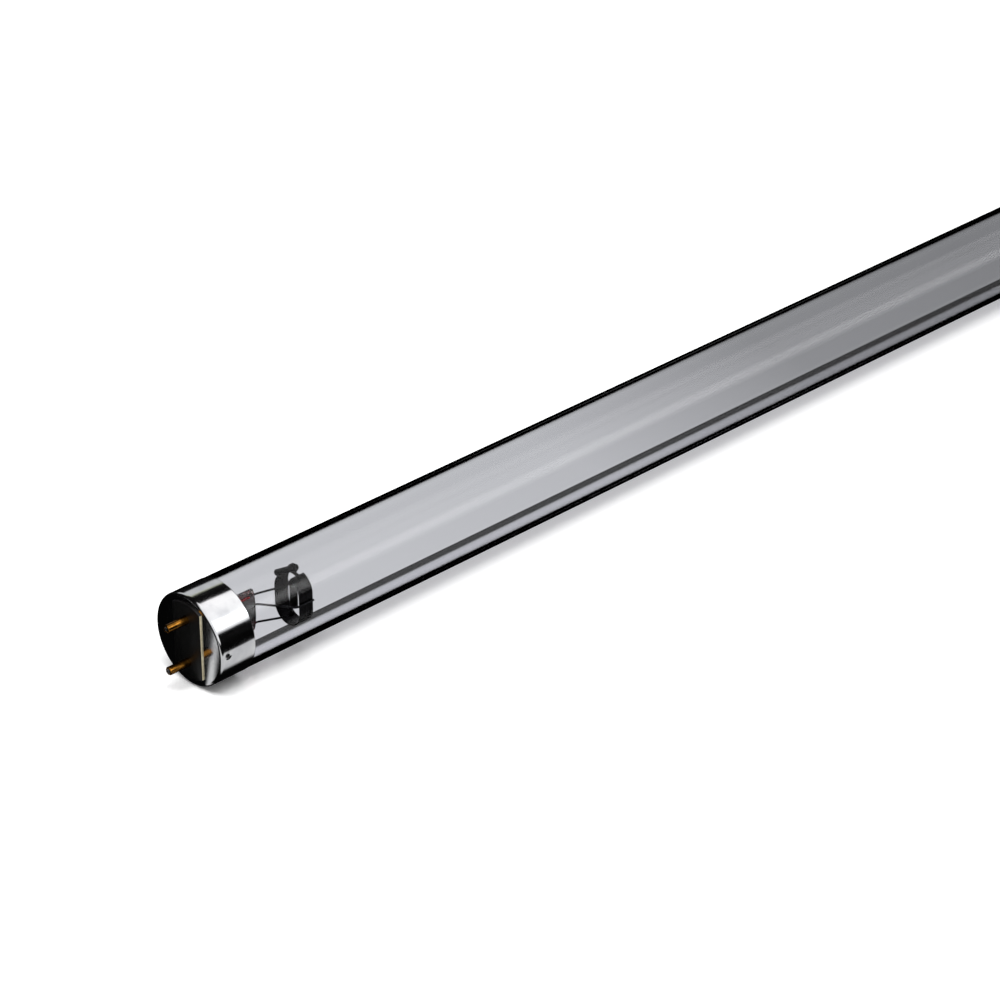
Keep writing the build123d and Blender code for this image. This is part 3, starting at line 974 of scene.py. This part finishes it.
class LAMP_OT_capsule(bpy.types.Operator):
    """Small sealed capsule lying over the near ring's gap, in its clip"""

    bl_idname = "lamp.capsule"
    bl_label = "Mercury Capsule"

    def execute(self, context):
        solid = extent("mercury_capsule")
        radius, half, corner, tilt = 0.9, 3.75, 0.4, math.radians(9.5)
        place = world(solid.across, solid.up, (solid.start + solid.end) / 2)
        profile = [(-half, 0)] + arc((corner - half, radius - corner), corner, 180, 90, 6)
        profile += [(1.1 - half, radius), (1.25 - half, radius - 0.12), (1.4 - half, radius)]
        profile += arc((half - corner, radius - corner), corner, 90, 0, 6) + [(half, 0)]
        obj = turned("capsule", profile, 48)
        lean = Matrix.Rotation(tilt, 4, "Y")
        obj.matrix_world = Matrix.Translation(place) @ lean @ Matrix.Translation(-world(0, 0, 0))
        settle(obj, "mercury_capsule_part", 40.0)
        finish_piece(obj, "capsule", "capsule_metal", "mercury_capsule")
        self.clip()
        return {"FINISHED"}

    def clip(self):
        """Eye round the capsule on a saddle over the ring's gap."""
        solid = extent("capsule_clip")
        strip, foot = 0.3, 36.0
        centre = (solid.across, RING.bottom + RING_TALL - RING.wide / 2)
        saddle = arc(centre, (RING.wide + strip) / 2, 90 - foot, 90 + foot, 24)
        eye_radius = 1.02 + strip / 2
        eye = arc((solid.across, solid.top - eye_radius - strip / 2), eye_radius, -90, 270, 40)
        saddle_part = self.strip(saddle, solid.start, solid.end, strip)
        carve(saddle_part, self.strip(eye, solid.start, solid.end, strip), "UNION")
        weld(saddle_part, 0.004)
        settle(saddle_part, "capsule_clip_part", 40.0)
        finish_piece(saddle_part, "steel", "guard_steel", "capsule_clip")

    def strip(self, line, start, end, thickness):
        """Strip of metal on edge along a line of (across, up) points."""
        obj = draw([world(across, up, start) for across, up in line])
        extrude(end - start)
        bpy.ops.mesh.select_all(action="SELECT")
        bpy.ops.mesh.remove_doubles(threshold=0.001 * MM)
        leave_edit()
        add_modifier(obj, "SOLIDIFY", thickness=thickness * MM, offset=0, use_even_offset=True)
        return obj


class LAMP_OT_cement(bpy.types.Operator):
    """Ring of baked cement between skirt and neck"""

    bl_idname = "lamp.cement"
    bl_label = "Cement"

    def execute(self, context):
        s = sizes()
        solid = extent("near_cap_cement")
        outer, inner = s.cap_radius - s.cap_wall, s.tube_radius - s.neck_step
        middle = (outer + inner) / 2
        profile = [(solid.start, inner), (solid.start, outer), (solid.end - 0.15, outer)]
        profile += [(solid.end, middle), (solid.end - 0.1, inner), (solid.start, inner)]
        ring = turned("cement", profile, 96)
        both_ends(ring, "cap_cement", "cement", "cap_cement")
        return {"FINISHED"}


# Stage


def mirrored_light(tree, place):
    """What the metal sees in the board, a painted glow that only mirrors see: a lit strip in front of the
    tube, and by the near cap's end a glow shaped like a white card that lies slantwise, so that the flat end
    wall mirrors it on one side only."""
    front = spread(tree, (place, "Y"), -0.044, -0.040)
    under = spread(tree, (place, "Y"), -0.0145, -0.017)
    strip = calculate(tree, "MULTIPLY", (front, 0), (under, 0))
    slant = calculate(tree, "MULTIPLY_ADD", (place, "X"), 1.02, (place, "Y"))
    left = spread(tree, (slant, 0), -0.2286, -0.2296)
    right = spread(tree, (slant, 0), -0.2322, -0.2308)
    card_glow = calculate(tree, "MULTIPLY", (left, 0), (right, 0))
    before_cap = spread(tree, (place, "X"), -0.2190, -0.2200)
    card_glow = calculate(tree, "MULTIPLY", (card_glow, 0), (before_cap, 0))
    light = calculate(tree, "MAXIMUM", (strip, 0), (card_glow, 0))
    return spread(tree, (light, 0), 0.0, 1.0, 0.002, 0.8)


def floor_material():
    """Glossy white board. Looked at straight it is lit up to white and keeps the soft shadow, and far off
    it is the plain white of the backdrop. Through the glass it is a mirror whose light falls off along the
    lamp. To the metal it is dark, but for what mirrored_light gives."""
    material, tree = new_material("white_glossy_board")
    path = node(tree, "LightPath")
    geometry = node(tree, "NewGeometry")
    place = node(tree, "SeparateXYZ", Vector=(geometry, "Position"))
    through = calculate(tree, "GREATER_THAN", (path, "Transparent Depth"), 0.5)
    distance = node(tree, "VectorMath", {"operation": "LENGTH"}, Vector=(geometry, "Position"))
    far_off = spread(tree, (distance, "Value"), 0.40, 0.75)
    # painted falloff: seen through the glass, the board's glow and mirror darken along the lamp in place of
    # fading light
    along = spread(tree, (place, "X"), -0.22, 0.13)
    tones = ((0.0, grey(1.0)), (0.45, grey(0.82)), (0.72, grey(0.45)), (1.0, grey(0.36)))
    falloff = ramp(tree, along, 0, tones)

    lit = node(tree, "BsdfDiffuse", {"Color": grey(1.25)})
    white = node(tree, "Emission", {"Strength": 1.0})
    lit = mix_shaders(tree, (far_off, 0), lit, white)
    painted_falloff_glow = node(tree, "Emission", {"Strength": 0.45}, Color=(falloff, "Color"))
    seen = mix_shaders(tree, (through, 0), lit, painted_falloff_glow)
    other = node(tree, "BsdfDiffuse", {"Color": tuple(colours().floor) + (1.0,)})
    body = mix_shaders(tree, (path, "Is Camera Ray"), other, seen)
    # painted glow that only mirrors see, shaped by mirrored_light
    glow = node(tree, "Emission", Strength=(mirrored_light(tree, place), 0))
    board = mix_shaders(tree, (path, "Is Glossy Ray"), body, glow)

    mirror_tone = mix_colours(tree, (through, 0), grey(1.0), (falloff, "Color"))
    roughness = spread(tree, (through, 0), 0.0, 1.0, 0.14, 0.012)
    gloss = node(tree, "BsdfAnisotropic", Color=(mirror_tone, 2), Roughness=(roughness, 0))
    weight = spread(tree, (through, 0), 0.0, 1.0, 0.10, 0.90)
    close = calculate(tree, "SUBTRACT", 1.0, (far_off, 0))
    share = calculate(tree, "MULTIPLY", (weight, 0), (path, "Is Camera Ray"))
    share = calculate(tree, "MULTIPLY", (share, 0), (close, 0))
    whole = mix_shaders(tree, (share, 0), board, gloss)
    node(tree, "OutputMaterial", Surface=(whole, 0))
    return material


def mirrored_studio(tree):
    """Colours that mirrors see, by direction: two long soft lights over the lamp with dark gaps between, a
    bright side ahead of the near cap, and nothing from below."""
    coords = node(tree, "TexCoord")
    split = node(tree, "SeparateXYZ", Vector=(coords, "Generated"))
    angle = calculate(tree, "ARCTAN2", (split, "Z"), (split, "Y"))
    turn = spread(tree, (angle, 0), 0.0, math.pi)
    dark = grey(0.005)
    stops = (
        (0.0, dark),
        (0.095, dark),
        (0.12, (0.66, 0.67, 0.68, 1)),
        (0.222, (0.70, 0.71, 0.725, 1)),
        (0.24, (0.66, 0.68, 0.54, 1)),
        (0.265, dark),
        (0.41, dark),
        (0.43, (1.4, 1.37, 1.38, 1)),
        (0.70, grey(1.4)),
        (0.75, grey(4.6)),
        (0.81, grey(4.6)),
        (0.85, grey(1.4)),
        (0.865, grey(1.3)),
        (0.885, dark),
        (1.0, dark),
    )
    stripes = ramp(tree, turn, 0, stops)
    ahead = spread(tree, (split, "X"), -0.04, -0.16)
    front = spread(tree, (split, "Y"), 0.28, 0.05, 0.004, 1.3)
    stripes = mix_colours(tree, (ahead, 0), (stripes, "Color"), (front, 0))
    above = calculate(tree, "GREATER_THAN", (split, "Z"), 0.0)
    return mix_colours(tree, 1.0, (stripes, 2), (above, 0), "MULTIPLY")


def background(tree, strength, colour=(1.0, 1.0, 1.0, 1.0)):
    """Even background of one colour."""
    return node(tree, "Background", {"Color": colour, "Strength": strength})


def studio_world():
    """White to the camera, the studio to mirrors, and one even tone to mirrors behind the lamp's glass."""
    world_data = bpy.data.worlds.new("studio")
    bpy.context.scene.world = world_data
    world_data.use_nodes = True
    tree = world_data.node_tree
    tree.nodes.clear()
    path = node(tree, "LightPath")
    mirror = node(tree, "Background", Color=(mirrored_studio(tree), 2))
    wall_count = 2.5  # a ray behind both walls of the glass has crossed more surfaces than this
    walls = calculate(tree, "GREATER_THAN", (path, "Transparent Depth"), wall_count)
    inside = background(tree, 1.0, (0.70, 0.71, 0.725, 1))
    mirror = mix_shaders(tree, (walls, 0), mirror, inside)
    whole = mix_shaders(tree, (path, "Is Glossy Ray"), background(tree, 0.45), mirror)
    whole = mix_shaders(tree, (path, "Is Transmission Ray"), whole, background(tree, 0.8))
    whole = mix_shaders(tree, (path, "Is Camera Ray"), whole, background(tree, 1.0))
    node(tree, "OutputWorld", Surface=(whole, 0))


class LAMP_OT_stage(bpy.types.Operator):
    """Floor, soft light and camera"""

    bl_idname = "lamp.stage"
    bl_label = "Stage"

    def execute(self, context):
        deselect()
        floor_up = CAD_LOW.z
        bpy.ops.mesh.primitive_plane_add(size=12, location=(0, 0, floor_up))
        floor = bpy.context.object
        floor.name = "floor"
        floor.data.materials.append(floor_material())
        studio_world()
        self.softbox("key", (-0.35, -0.15, 0.9), (0.9, 0.5), 9.0)
        self.camera()
        scene = bpy.context.scene
        scene.view_settings.view_transform = "Standard"
        scene.cycles.transparent_max_bounces = 40
        scene.cycles.max_bounces = 16
        scene.cycles.transmission_bounces = 16
        scene.cycles.glossy_bounces = 8
        return {"FINISHED"}

    def softbox(self, name, place, size, power):
        """Rectangular soft light that looks at the lamp's middle."""
        light = bpy.data.lights.new(name, "AREA")
        light.shape = "RECTANGLE"
        light.size, light.size_y = size
        light.energy = power
        obj = bpy.data.objects.new(name, light)
        bpy.context.scene.collection.objects.link(obj)
        obj.location = place
        obj.rotation_mode = "QUATERNION"
        obj.rotation_quaternion = (Vector((-0.12, 0, 0)) - Vector(place)).to_track_quat("-Z", "Y")
        obj.visible_glossy = False

    def camera(self):
        """The photograph's view, from its measured focal length, angles and distance."""
        focal_pixels, frame_pixels, sensor = 3535.6, 1000, 36.0
        azimuth, elevation = math.radians(-44.309), math.radians(29.442)
        target, distance = Vector((-0.106704, 0, -0.002708)), 0.97916
        level = math.cos(elevation)
        back = Vector((math.sin(azimuth) * level, -math.cos(azimuth) * level, math.sin(elevation)))
        data = bpy.data.cameras.new("camera")
        data.sensor_width = sensor
        data.lens = focal_pixels * sensor / frame_pixels
        data.clip_start, data.clip_end = 0.01, 50
        camera = bpy.data.objects.new("camera", data)
        bpy.context.scene.collection.objects.link(camera)
        camera.location = target + back * distance
        camera.rotation_mode = "QUATERNION"
        camera.rotation_quaternion = (-back).to_track_quat("-Z", "Y")
        bpy.context.scene.camera = camera


class LAMP_PT_panel(bpy.types.Panel):
    """Lists the lamp's pieces and sizes"""

    bl_idname = "LAMP_PT_panel"
    bl_label = "Lamp Tube"
    bl_space_type = "VIEW_3D"
    bl_region_type = "UI"
    bl_category = "Lamp"

    def draw(self, context):
        for operator in OPERATORS:
            self.layout.operator(operator.bl_idname)
        for name in LampSizes.__annotations__:
            self.layout.prop(context.scene.lamp_sizes, name)
        for name in LampColours.__annotations__:
            self.layout.prop(context.scene.lamp_colours, name)


OPERATORS = (
    LAMP_OT_finishes,
    LAMP_OT_envelope,
    LAMP_OT_caps,
    LAMP_OT_insulators,
    LAMP_OT_pins,
    LAMP_OT_cement,
    LAMP_OT_stems,
    LAMP_OT_wires,
    LAMP_OT_filaments,
    LAMP_OT_guard_rings,
    LAMP_OT_capsule,
    LAMP_OT_stage,
)
CLASSES = (LampSizes, LampColours) + OPERATORS + (LAMP_PT_panel,)


def register():
    for cls in CLASSES:
        bpy.utils.register_class(cls)
    bpy.types.Scene.lamp_sizes = PointerProperty(type=LampSizes)
    bpy.types.Scene.lamp_colours = PointerProperty(type=LampColours)


def unregister():
    del bpy.types.Scene.lamp_colours
    del bpy.types.Scene.lamp_sizes
    for cls in reversed(CLASSES):
        bpy.utils.unregister_class(cls)


def main():
    """Registers the add-on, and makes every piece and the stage."""
    register()
    for operator in OPERATORS:
        group, name = operator.bl_idname.split(".")
        getattr(getattr(bpy.ops, group), name)()


if __name__ == "__main__":
    main()
